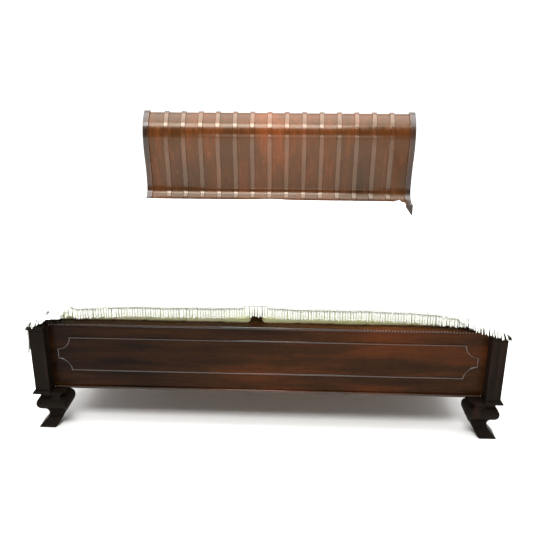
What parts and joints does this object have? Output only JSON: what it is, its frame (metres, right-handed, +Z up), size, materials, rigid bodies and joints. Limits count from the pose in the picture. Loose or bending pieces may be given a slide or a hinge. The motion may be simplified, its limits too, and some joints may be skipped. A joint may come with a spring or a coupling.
{
  "type": "sleigh bed",
  "caption": "Mahogany sleigh bed with an S-curved ribbed headboard, low panelled footboard on scrolled feet, side rails, deck, mattresses and a fringed coverlet.",
  "frame": {"origin": "on the floor, midway across and along the bed", "axes": "+Z up, +Y from the foot of the bed towards the headboard, +X to the right of someone at the foot looking at the headboard"},
  "size_m": [2.124, 2.2483, 1.2168],
  "materials": {
    "polished_mahogany": "dark red-brown mahogany, glossy french polish",
    "deck_timber": "planed softwood, unpolished",
    "steel": "plain rolled steel",
    "mattress_satin": "pale yellow-green satin ticking",
    "coverlet_cotton": "white woven cotton with a knotted fringe"
  },
  "bodies": {
    "root": {"beam_hangers": "steel", "bottom_bead_strip": "polished_mahogany", "centre_beam": "deck_timber", "centre_legs": "deck_timber", "coverlet": "coverlet_cotton", "coverlet_fringe": "coverlet_cotton", "deck_boards": "deck_timber", "deck_cleats_foot": "deck_timber", "deck_cleats_head": "deck_timber", "foot_dowels": "deck_timber", "foot_post_left": "polished_mahogany", "foot_post_right": "polished_mahogany", "footboard_bottom_rail": "polished_mahogany", "footboard_frame_moulding": "polished_mahogany", "footboard_panel": "polished_mahogany", "footboard_top_rail": "polished_mahogany", "front_foot_left": "polished_mahogany", "front_foot_right": "polished_mahogany", "head_ledge_bearer": "deck_timber", "head_ledge_moulding": "polished_mahogany", "head_lower_rail": "polished_mahogany", "head_stile_left": "polished_mahogany", "head_stile_right": "polished_mahogany", "head_top_batten": "polished_mahogany", "head_waist_batten": "polished_mahogany", "headboard_ribs": "polished_mahogany", "headboard_staves": "polished_mahogany", "inner_post_left": "deck_timber", "inner_post_right": "deck_timber", "mattress_left": "mattress_satin", "mattress_right": "mattress_satin", "post_base_left": "polished_mahogany", "post_base_right": "polished_mahogany", "post_cap_left": "polished_mahogany", "post_cap_right": "polished_mahogany", "post_hook_plates": "steel", "rail_hook_plates": "steel", "rail_ledger_left": "deck_timber", "rail_ledger_right": "deck_timber", "rail_moulding_left": "polished_mahogany", "rail_moulding_right": "polished_mahogany", "side_rail_left": "polished_mahogany", "side_rail_right": "polished_mahogany", "stile_bead_left": "polished_mahogany", "stile_bead_right": "polished_mahogany", "top_bead_strip": "polished_mahogany"}
  },
  "joints": []
}
